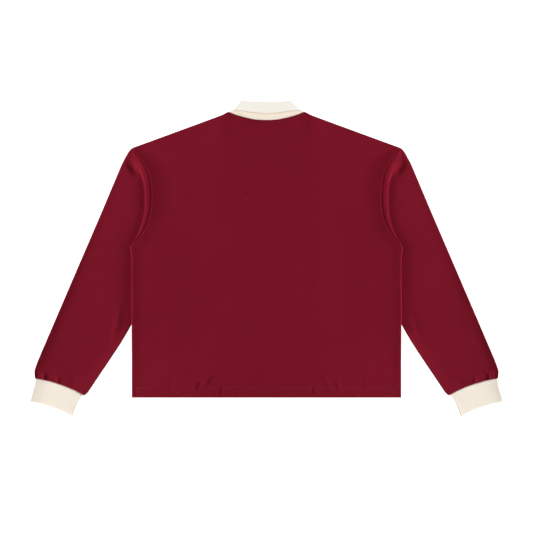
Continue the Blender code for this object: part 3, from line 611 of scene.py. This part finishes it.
def sleeve_section(values, outer_x, closed, creases):
    """One section's points: along the table, round the outer edge, over the top, round the inner one."""
    inner_x, inner_height, outer_height, roll, rise, lipped, crown, crest, dip, bow = values
    outer = np.array([outer_x, outer_height])
    inner = np.array([inner_x, inner_height])
    width = np.linalg.norm(inner - outer)
    across = (inner - outer) / width
    up_arm = np.array([-across[1], across[0]])
    if up_arm[1] < 0:
        up_arm = -up_arm

    roll = min(roll, ROLL_LIMIT * width)
    lip_run = -ROLL_PROFILE[0][0] * roll
    shown = (outer_x - HEM_WIDTH / 2) / max(-across[0], 0.1) if closed else width - roll - lip_run
    shown = min(shown, width)

    def top_at(distance):
        dipped = np.clip(1 - (shown - distance) / DIP_REACH, 0.0, 1.0) ** BANK_CURVE
        fullness = crown * ease(distance, 0.0, crest * shown) - dip * dipped
        pressed = PRESSED * ease(distance, shown, max(width, shown + 0.001)) if closed else 0.0
        return (SLEEVE_TOP + fullness - pressed + bank(OUTER_BANK, outer_height, distance)
                + bank(INNER_BANK, outer_height, width - distance))

    fold_outer = min(top_at(0.0), width / FOLD_LIMIT) / 2
    fold_inner = top_at(width) / 2
    last = width - fold_inner if closed else width
    start = last - roll - lip_run
    profile_place, profile_share = np.array(ROLL_PROFILE).T
    slope_place = np.linspace(profile_place[0], 1.0, len(profile_place))
    slope_share = ease(slope_place, *ROLL_SLOPE)
    profile_place = slope_place + (profile_place - slope_place) * lipped
    profile_share = slope_share + (profile_share - slope_share) * lipped
    under = last + (fold_outer - last) * np.linspace(0, 1, UNDER_POINTS)
    turn = np.radians(np.linspace(-TURN_ANGLE, TURN_ANGLE, TURN_POINTS))
    over = fold_outer + (start - fold_outer) * np.linspace(0, 1, OVER_POINTS)[:-1] ** OVER_SPREAD
    rolled = last - roll * (1 - profile_place)
    distance = [under, fold_outer * (1 - np.cos(turn)), over, rolled]
    lift = [under * 0, fold_outer * (1 + np.sin(turn)), top_at(over), top_at(rolled) + rise * profile_share]
    if closed:
        distance.append(width - fold_inner * (1 - np.cos(turn[::-1])))
        lift.append(fold_inner * (1 + np.sin(turn[::-1])))
    else:
        sink = hump(last - rolled, SEAM_SINK, SEAM_SINK_WIDTH)
        lift[-1] = lift[-1] - np.minimum(sink, SINK_LIMIT * lift[-1])
        seam_lift = lift[-1][-1]
        front_low = body_lift(inner_x, inner_height, FRONT_LIFT_INNER)
        tucked = front_low - SEAM_GAP
        if seam_lift > front_low + TUCK_BETWEEN:
            tucked = front_low + CLOTH + TUCK_CLEAR
        turned = np.linspace(0, 1, TURN_POINTS)
        allowance = ALLOWANCE * ease(SHOULDER_HEIGHT - inner_height, 0.0, ALLOWANCE_FADE)
        distance.append(width + allowance * turned)
        lift.append(seam_lift + (min(tucked, seam_lift) - seam_lift) * ease(turned, 0.0, TUCK_TURN))
    distance = np.concatenate(distance)
    lift = np.concatenate(lift)
    share = distance / width
    place = outer + across * distance[:, None] + up_arm * (bow * 4 * share * (1 - share))[:, None]
    on_top = np.zeros(len(distance))
    on_top[len(under) + len(turn):len(under) + len(turn) + len(over) + len(rolled)] = 1.0
    outer_fade, seam_fade = CREASE_FADE
    inner_fade = outer_fade if closed else seam_fade
    inside = ease(distance, 0.0, outer_fade) * ease(width - distance, 0.0, inner_fade)
    lift = lift + on_top * inside * relief(place[:, 0], place[:, 1], creases)
    return place[:, 0], place[:, 1], lift


def make_sleeve(name, side):
    """A sleeve: sewn to the armhole above, a closed tube from the underarm down."""
    creases = SLEEVE_CREASES + OWN_SLEEVE_CREASES[side]
    at, columns = sleeve_keys()
    edge_x, edge_height = zip(*sorted(OUTER_EDGE, key=lambda point: -point[1]))
    outer_x = through([-height for height in edge_height], edge_x, -columns[2])
    grid = []
    for index, place in enumerate(at):
        closed = place >= len(ARMHOLE) - 1
        values = [column[index] for column in columns]
        grid.append(on_table(*sleeve_section(values, outer_x[index], closed, creases)))
    grid = np.array(grid)
    run = np.linalg.norm(np.diff(grid, axis=1, prepend=grid[:, :1]), axis=2).cumsum(axis=1)
    down = np.hypot(np.gradient(outer_x), np.gradient(columns[2])).cumsum()
    uv = np.stack([run, np.broadcast_to(down[:, None], run.shape)], axis=-1)
    grid[..., 0] *= side
    return shell(f"{name}_cloth", grid, uv, CLOTH, burgundy, name,
                 around=True, facing_up=side > 0)


# ---- cuffs ----

def make_cuff(name, side):
    """A rib cuff: a short tube whose edges both arch towards the sleeve."""
    sleeve_outer = np.array(OUTER_EDGE[-1])
    sleeve_inner = np.array([FOREARM[-1].inner_x, FOREARM[-1].inner_height])
    inwards = (sleeve_inner - sleeve_outer) / np.linalg.norm(sleeve_inner - sleeve_outer)
    down_arm = np.array([-inwards[1], inwards[0]])
    seam_outer = sleeve_outer + inwards * CUFF_INSET_OUTER + down_arm * SEAM_GAP
    seam_inner = sleeve_inner - inwards * CUFF_INSET_INNER + down_arm * SEAM_GAP
    end_outer, end_inner = np.array(CUFF_END_OUTER), np.array(CUFF_END_INNER)
    length = np.linalg.norm(end_outer - seam_outer)
    grid, uv = [], []
    for down in steps_to((0.015, 2), (0.05, 3), (0.95, 18), (0.985, 3), (1.0, 2)):
        waist = math.sin(math.pi * down ** CUFF_WAIST_PLACE)
        outer = seam_outer + (end_outer - seam_outer) * down + inwards * CUFF_WAIST_OUTER * waist
        inner = seam_inner + (end_inner - seam_inner) * down - inwards * CUFF_WAIST_INNER * waist
        width = np.linalg.norm(inner - outer)
        across = (inner - outer) / width
        up_arm = np.array([-across[1], across[0]])
        up_arm *= np.sign(up_arm[1])
        outer_radius, inner_radius = (CUFF_TOP + CUFF_BANK) / 2, CUFF_TOP / 2
        flat = np.linspace(0, 1, CUFF_POINTS)
        across_top = outer_radius + (width - outer_radius - inner_radius) * flat
        turn = np.radians(np.linspace(-90, 90, CUFF_TURN_POINTS))[1:-1]
        crown = CUFF_CROWN * np.sin(np.pi * flat) ** CUFF_CROWN_CURVE
        near_edge = np.clip(1 - (across_top - outer_radius) / CUFF_BANK_REACH, 0.0, 1.0)
        crown += CUFF_BANK * near_edge ** BANK_CURVE
        distance = np.concatenate([
            across_top, width - inner_radius * (1 - np.cos(turn)),
            across_top[::-1], outer_radius * (1 - np.cos(turn))])
        lift = np.concatenate([
            CUFF_TOP + crown, inner_radius * (1 - np.sin(turn)),
            flat * 0, outer_radius * (1 + np.sin(turn))])
        share = distance / width
        place = outer + across * distance[:, None] + up_arm * (CUFF_BOW * 4 * share * (1 - share))[:, None]
        section = np.column_stack([place[:, 0], place[:, 1] - Y_MIDDLE, lift])
        run = run_along(np.vstack([section, section[:1]]))
        ribs = round(run[-1] / CUFF_RIB_PITCH)
        phase = 2 * np.pi * ribs * run[:-1] / run[-1]
        edge = min(down, 1 - down) * length
        tuck = CUFF_RIB_DEPTH * (1 - np.cos(phase)) / 2 + lip(edge, *CUFF_ROUND)
        middle = section.mean(axis=0)
        ahead = np.roll(section, -1, axis=0) - np.roll(section, 1, axis=0)
        outward = np.cross(ahead, [*-up_arm, 0.0])
        outward /= np.linalg.norm(outward, axis=1)[:, None]
        outward *= np.sign(np.sum(outward * (section - middle), axis=1))[:, None]
        section = section - outward * tuck[:, None]
        grid.append(section)
        along_rib = np.full(len(phase), down * length)
        uv.append(np.column_stack([phase / (2 * np.pi) * CUFF_RIB_PITCH, along_rib]))
    grid = np.array(grid)
    grid[..., 0] *= side
    return shell(f"{name}_rib", grid, np.array(uv), RIB, cream, name,
                 around=True, facing_up=side > 0)


# ---- collar ----

def collar_lines():
    """The seam, the fold and the free edge, and the way the collar faces, all the way round."""
    corners = (FOLD_CORNER, FALL_CORNER, LEAF_CORNER)
    fold_side, fall_side, leaf_side = (np.array(corner) - SIDE_OUT * FALL_TOP / 2 for corner in corners)
    stand_turn = (STAND_TOP - STAND_BOTTOM) / 2
    seam_side = np.array([NECK_WIDTH / 2, BODY_LENGTH]) - SIDE_OUT * (stand_turn + COLLAR_INSET)
    place = np.linspace(0, 1, BACK_COLUMNS)[:, None]
    seam_x = seam_side[0] * place
    bowed = 1 - place ** 2
    gap = SEAM_GAP + COLLAR_CLEAR * place ** 2
    seam = np.hstack([seam_x, neckline(seam_x, BACK_NECK_DROP, BACK_NECK_CURVE) + gap])
    fold = np.hstack([fold_side[0] * place, fold_side[1] - FOLD_BOW * bowed])
    hung = (1 + np.cos(np.pi * place)) / 2
    fall = np.hstack([fall_side[0] * place, fall_side[1] - FALL_BOW * hung])
    turning = np.linspace(0, np.pi, SIDE_COLUMNS + 2)[1:-1]
    facing = np.concatenate([np.zeros(BACK_COLUMNS), turning, np.full(FRONT_COLUMNS, np.pi)])
    place = np.linspace(0, 1, FRONT_COLUMNS)[:, None]
    seam_x = seam_side[0] + (FRONT_GAP - seam_side[0]) * place
    front_seam = np.hstack([seam_x, neckline(seam_x, FRONT_NECK_DROP, FRONT_NECK_CURVE) + SEAM_GAP])
    front_seam[0] = seam[-1]
    front_fold = np.array([FRONT_GAP, BODY_LENGTH - FRONT_NECK_DROP + FRONT_STAND])
    front_fold = fold_side + (front_fold - fold_side) * place
    leaf = np.array([leaf_side, *FALL_LEAF])
    at = np.linspace(0, 1, len(leaf))
    front_fall = np.hstack([through(at, leaf[:, 0], place), through(at, leaf[:, 1], place)])
    over_side = np.linspace(0, 1, SIDE_COLUMNS + 2)[1:-1, None]
    lines = []
    for back, front in ((seam, front_seam), (fold, front_fold), (fall, front_fall)):
        lines.append(np.vstack([back, back[-1] + (front[0] - back[-1]) * over_side, front]))
    swing = [np.linspace(0, 1, BACK_COLUMNS), np.ones(SIDE_COLUMNS), np.linspace(1, 0, FRONT_COLUMNS)]
    return lines, facing, np.concatenate(swing)


def collar_grid(lower, upper, top, bottom, rows, sink, tuck=0.0):
    """Outer-face points between two of the collar's lines, from its front round the back."""
    lines, facing, swing = collar_lines()
    radius = (top - bottom) / 2
    grid, uv = [], []
    for share in rows:
        line = lines[lower] + (lines[upper] - lines[lower]) * share
        line = line - SIDE_OUT * (tuck * 4 * share * (1 - share) * swing ** 2)[:, None]
        length = np.linalg.norm(lines[upper] - lines[lower], axis=1)
        depth = radius - sink(share, length, np.maximum(np.cos(facing), 0.0))
        plan = line + SIDE_OUT * (depth * np.sin(facing))[:, None]
        z = bottom + radius + depth * np.cos(facing)
        half = on_table(plan[:, 0], plan[:, 1], z)
        mirrored = half[:0:-1] * (-1, 1, 1)
        grid.append(np.vstack([mirrored, half]))
        along = run_along(lines[upper])
        around = np.concatenate([-along[:0:-1], along])
        up = np.concatenate([(length * share)[:0:-1], length * share])
        uv.append(np.column_stack([around, up]))
    return np.array(grid), np.array(uv)


def make_collar():
    """The stand, sewn round the neckline, and the fall, folded over it."""
    (seam, fold, fall_edge), _, swing = collar_lines()
    edge_run = np.linalg.norm(fall_edge - seam, axis=1)

    def fall_sink(share, length, over):
        height, by_share, by_length = FALL_WAVE
        wave = height * np.cos(by_share * share + by_length * length)
        fold_round = lip((1 - share) * length, *FOLD_ROUND)
        edge_round = lip(share * length, *FREE_EDGE_ROUND)
        curl = over * FREE_EDGE_CURL * np.clip(1 - share * length / FREE_EDGE_REACH, 0.0, 1.0) ** 2
        return np.maximum(fold_round, edge_round) + wave * share * (1 - share) - curl

    def stand_sink(share, length, over):
        ribs = STAND_RIB_DEPTH * (1 - np.cos(2 * np.pi * share * length / STAND_RIB_PITCH)) / 2
        away = share * length - edge_run + UNDERCUT_SHORT
        undercut = hump(away, over * UNDERCUT * (1 - UNDERCUT_SIDE * swing), UNDERCUT_WIDTH)
        return ribs + lip(share * length, *STAND_ROUND) + undercut

    fine = steps_to((0.02, 2), (0.06, 3), (0.9, 22), (0.97, 5), (1.0, 5))
    grid, uv = collar_grid(2, 1, FALL_TOP, 0.0, fine, fall_sink)
    fall = shell("collar_fall_knit", grid, uv, FALL_WALL, ivory, "collar_fall")
    rows = np.linspace(0, STAND_REACH, STAND_ROWS)
    grid, uv = collar_grid(0, 1, STAND_TOP, STAND_BOTTOM, rows, stand_sink, STAND_TUCK)
    stand = shell("collar_stand_knit", grid, uv, STAND_WALL, stand_ivory, "collar_stand")
    return fall, stand


# ---- stitches ----

def make_stitches(name, lines, material):
    """Threads lying along lines of surface points: a flattened bead for each stitch."""
    points, faces = [], []
    ring = [(math.cos(angle), math.sin(angle)) for angle in np.linspace(0, 2 * math.pi, 7)[:-1]]
    for line, up in lines:
        run = run_along(line)
        count = int(run[-1] / STITCH)
        for number in range(count):
            middle = (number + 0.5) * run[-1] / count
            ends = [
                np.array([np.interp(middle + way * STITCH / 2, run, column) for column in line.T])
                for way in (-1, 1)]
            ahead = Vector(ends[1] - ends[0]).normalized()
            lift = Vector((0, 0, up))
            aside = ahead.cross(lift).normalized()
            lift = aside.cross(ahead)
            centre = Vector((ends[0] + ends[1]) / 2)
            base = len(points)
            for place, size in THREAD_PROFILE:
                for out, high in ring:
                    points.append(centre + ahead * place * STITCH * STITCH_REACH
                                  + aside * out * size * THREAD
                                  + lift * high * size * THREAD * THREAD_FLAT)
            for row in range(len(THREAD_PROFILE) - 1):
                for column in range(len(ring)):
                    after = (column + 1) % len(ring)
                    low, high = base + row * len(ring), base + (row + 1) * len(ring)
                    faces.append((low + column, low + after, high + after, high + column))
            last = base + (len(THREAD_PROFILE) - 1) * len(ring)
            faces.append(tuple(base + column for column in range(len(ring)))[::-1])
            faces.append(tuple(last + column for column in range(len(ring))))
    piece = new_object(name, points, faces, material)
    piece.data.shade_smooth()
    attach(piece, "root")
    return piece


def surface_points(surface, x, height):
    """A panel's outer face at garment points, with its side taken as it is low down."""
    edge_height = np.full(np.shape(x), 0.1)
    return on_table(x, height, surface(x, height, edge_height, HEM_WIDTH / 2 - np.abs(x)))


def body_stitches():
    """Two rows up from the hem on both panels and one round the back neckline."""
    hem_end = HEM_WIDTH / 2 - HEM_STITCH_INSET
    hem_x = np.linspace(-hem_end, hem_end, HEM_POINTS)
    rows = [np.full(HEM_POINTS, row) for row in HEM_STITCH_ROWS]
    back_lines = [(surface_points(back_surface, hem_x, row), 1) for row in rows]
    front_lines = [(surface_points(front_surface, hem_x, row), -1) for row in rows]
    neck_end = NECK_WIDTH / 2 - NECK_STITCH_INSET
    neck_x = np.linspace(-neck_end, neck_end, NECK_POINTS)
    neck_height = neckline(neck_x, BACK_NECK_DROP, BACK_NECK_CURVE) - NECK_STITCH
    back_lines.append((surface_points(back_surface, neck_x, neck_height), 1))
    back = make_stitches("back_stitches", back_lines, thread)
    front = make_stitches("front_stitches", front_lines, thread)
    return back, front


# ---- materials ----

class Nodes:
    """A material's node tree with short calls for the nodes used here."""

    def __init__(self, name, roughness, sheen, sheen_tint, specular):
        self.material = bpy.data.materials.new(name)
        self.material.use_nodes = True
        self.tree = self.material.node_tree
        self.shader = self.tree.nodes["Principled BSDF"]
        values = {
            "Roughness": roughness, "Sheen Weight": sheen, "Sheen Roughness": 0.45,
            "Sheen Tint": (*sheen_tint, 1.0), "Specular IOR Level": specular,
        }
        for socket, value in values.items():
            self.shader.inputs[socket].default_value = value

    def add(self, kind, **settings):
        node = self.tree.nodes.new(kind)
        for key, value in settings.items():
            setattr(node, key, value)
        return node

    def link(self, source, target):
        self.tree.links.new(source, target)

    def math(self, operation, first, second=0.0):
        node = self.add("ShaderNodeMath", operation=operation)
        for socket, value in zip(node.inputs, (first, second)):
            if isinstance(value, (int, float)):
                socket.default_value = value
            else:
                self.link(value, socket)
        return node.outputs[0]

    def noise(self, vector, scale, detail=2.0):
        node = self.add("ShaderNodeTexNoise")
        node.inputs["Scale"].default_value = scale
        node.inputs["Detail"].default_value = detail
        self.link(vector, node.inputs["Vector"])
        return node.outputs["Fac"]

    def mix(self, factor, first, second):
        node = self.add("ShaderNodeMix", data_type="RGBA")
        self.link(factor, node.inputs["Factor"])
        for socket, colour in ((node.inputs[6], first), (node.inputs[7], second)):
            if isinstance(colour, tuple):
                socket.default_value = (*colour, 1.0)
            else:
                self.link(colour, socket)
        return node.outputs[2]

    def bump(self, height, distance, strength, below=None):
        node = self.add("ShaderNodeBump")
        node.inputs["Distance"].default_value = distance
        node.inputs["Strength"].default_value = strength
        self.link(height, node.inputs["Height"])
        if below:
            self.link(below, node.inputs["Normal"])
        return node.outputs["Normal"]


def knit_height(nodes, across, along, wale, course):
    """Columns of V-shaped stitches: wale is a column's width and course a stitch's height."""
    column = nodes.math("SUBTRACT", nodes.math("FRACT", nodes.math("DIVIDE", across, wale)), 0.5)
    out = nodes.math("ABSOLUTE", column)
    row = nodes.math("ADD", nodes.math("DIVIDE", along, course), nodes.math("MULTIPLY", out, 1.3))
    loops = nodes.math("SINE", nodes.math("MULTIPLY", row, 2 * math.pi))
    columns = nodes.math("COSINE", nodes.math("MULTIPLY", column, 2 * math.pi))
    return nodes.math("ADD", nodes.math("MULTIPLY", loops, 0.35), nodes.math("MULTIPLY", columns, 0.5))


def knit_material(name, dark, light, wale, course, bump, sheen, sheen_tint):
    """A knit whose colour wanders a little between dark and light, finely and over the piece, with a
    highlight painted lighter where a point carries the small bump's mask.
    """
    nodes = Nodes(name, 0.92, sheen, sheen_tint, 0.04)
    uv = nodes.add("ShaderNodeUVMap", uv_map="cloth").outputs["UV"]
    place = nodes.add("ShaderNodeTexCoord").outputs["Object"]
    parts = nodes.add("ShaderNodeSeparateXYZ")
    nodes.link(uv, parts.inputs[0])
    stitches = knit_height(nodes, parts.outputs[0], parts.outputs[1], wale, course)
    fuzz = nodes.noise(place, 1400.0, 3.0)
    mottle = nodes.noise(place, 420.0, 2.0)
    broad = nodes.noise(place, 9.0, 3.0)
    tone = nodes.math("ADD", nodes.math("MULTIPLY", fuzz, 0.4), nodes.math("MULTIPLY", mottle, 0.4))
    tone = nodes.math("ADD", tone, nodes.math("MULTIPLY", broad, 0.2))
    # Painted highlight: the cloth is painted lighter on the small bump, by its mask.
    bump_highlight_mask = nodes.add("ShaderNodeAttribute", attribute_name="bump_highlight_mask").outputs["Fac"]
    highlight_colours = [tuple(channel * BUMP_HIGHLIGHT for channel in colour) for colour in (dark, light)]
    colour = nodes.mix(bump_highlight_mask, nodes.mix(tone, dark, light), nodes.mix(tone, *highlight_colours))
    nodes.link(colour, nodes.shader.inputs["Base Color"])
    loops = nodes.bump(stitches, bump, 0.5)
    nodes.link(nodes.bump(fuzz, bump * 0.8, 0.35, loops), nodes.shader.inputs["Normal"])
    rough = nodes.math("ADD", nodes.math("MULTIPLY", fuzz, 0.12), 0.84)
    nodes.link(rough, nodes.shader.inputs["Roughness"])
    return nodes.material


def thread_material(name, dark, light):
    """Twisted sewing thread."""
    nodes = Nodes(name, 0.6, 0.1, (0.8, 0.3, 0.35), 0.15)
    place = nodes.add("ShaderNodeTexCoord").outputs["Object"]
    twist = nodes.add("ShaderNodeTexWave", bands_direction="DIAGONAL")
    twist.inputs["Scale"].default_value = 900.0
    nodes.link(place, twist.inputs["Vector"])
    nodes.link(nodes.mix(twist.outputs["Fac"], dark, light), nodes.shader.inputs["Base Color"])
    nodes.link(nodes.bump(twist.outputs["Fac"], 0.0001, 0.4), nodes.shader.inputs["Normal"])
    return nodes.material


def floor_material():
    """A floor that shines white, as a light table does, so that hardly any shadow shows on it."""
    nodes = Nodes("pale_floor", 0.9, 0.0, (1, 1, 1), 0.0)
    nodes.shader.inputs["Emission Color"].default_value = (1.0, 1.0, 1.0, 1.0)
    nodes.shader.inputs["Emission Strength"].default_value = FLOOR_GLOW
    place = nodes.add("ShaderNodeTexCoord").outputs["Object"]
    grain = nodes.noise(place, 30.0)
    nodes.link(nodes.mix(grain, (0.32, 0.32, 0.32), (0.35, 0.35, 0.35)), nodes.shader.inputs["Base Color"])
    return nodes.material


# ---- stage ----

def soft_light(name, side, place, aim, size, power, spread):
    """An area lamp on the right, or mirrored to the left where side is -1."""
    place, aim = ((side * point[0], *point[1:]) for point in (place, aim))
    light = bpy.data.lights.new(name, "AREA")
    light.shape = "RECTANGLE"
    light.size, light.size_y = size
    light.energy = power
    light.spread = math.radians(spread)
    lamp = bpy.data.objects.new(name, light)
    lamp.location = place
    lamp.rotation_euler = (Vector(aim) - Vector(place)).to_track_quat("-Z", "Y").to_euler()
    lamp.visible_camera = False
    bpy.context.scene.collection.objects.link(lamp)


def set_stage():
    """The floor, soft lights low at both sides and two overhead, and the camera above."""
    corners = [(x, y, FLOOR_LEVEL) for x, y in ((-5, -5), (5, -5), (5, 5), (-5, 5))]
    floor = new_object("floor", corners, [(0, 1, 2, 3)], floor_material())
    for suffix, side in SIDES:
        soft_light(f"side_{suffix}", side, *SIDE_LAMP)
        soft_light(f"fill_{suffix}", side, *FILL_LAMP)
    world = bpy.data.worlds.new("studio")
    world.use_nodes = True
    background = world.node_tree.nodes["Background"]
    background.inputs["Color"].default_value = (1.0, 1.0, 1.0, 1.0)
    background.inputs["Strength"].default_value = STUDIO_LIGHT
    scene = bpy.context.scene
    scene.world = world
    scene.view_settings.view_transform = "Standard"
    camera = bpy.data.cameras.new("camera")
    camera.lens = 85
    camera.sensor_width = 36
    camera.clip_start = 0.05
    camera.clip_end = 60
    viewer = bpy.data.objects.new("camera", camera)
    viewer.location = CAMERA_PLACE
    scene.collection.objects.link(viewer)
    scene.camera = viewer


# ---- the garment ----

burgundy = knit_material("burgundy_knit", (0.094, 0.0023, 0.0082), (0.178, 0.0058, 0.0174),
                         0.0011, 0.0009, 0.00012, 0.05, (0.6, 0.1, 0.14))
cream = knit_material("cream_rib_knit", (0.74, 0.663, 0.566), (0.8, 0.73, 0.633),
                      0.00115, 0.0009, 0.00012, 0.15, (1.0, 0.94, 0.86))
ivory = knit_material("ivory_collar_knit", (0.728, 0.694, 0.63), (0.777, 0.748, 0.685),
                      0.0012, 0.001, 0.0001, 0.15, (1.0, 0.97, 0.92))
stand_ivory = knit_material("ivory_stand_knit", (0.725, 0.628, 0.522), (0.778, 0.682, 0.576),
                            0.0012, 0.001, 0.0001, 0.15, (1.0, 0.94, 0.86))
thread = thread_material("burgundy_thread", (0.1, 0.0034, 0.0096), (0.14, 0.0054, 0.014))

set_stage()
back = make_panel("back", BACK_NECK_DROP, BACK_NECK_CURVE, back_surface, True)
front = make_panel("front", FRONT_NECK_DROP, FRONT_NECK_CURVE, front_surface, False)
back_stitches, front_stitches = body_stitches()
for suffix, side in SIDES:
    sleeve = make_sleeve(f"sleeve_{suffix}", side)
    cuff = make_cuff(f"cuff_{suffix}", side)
fall, stand = make_collar()
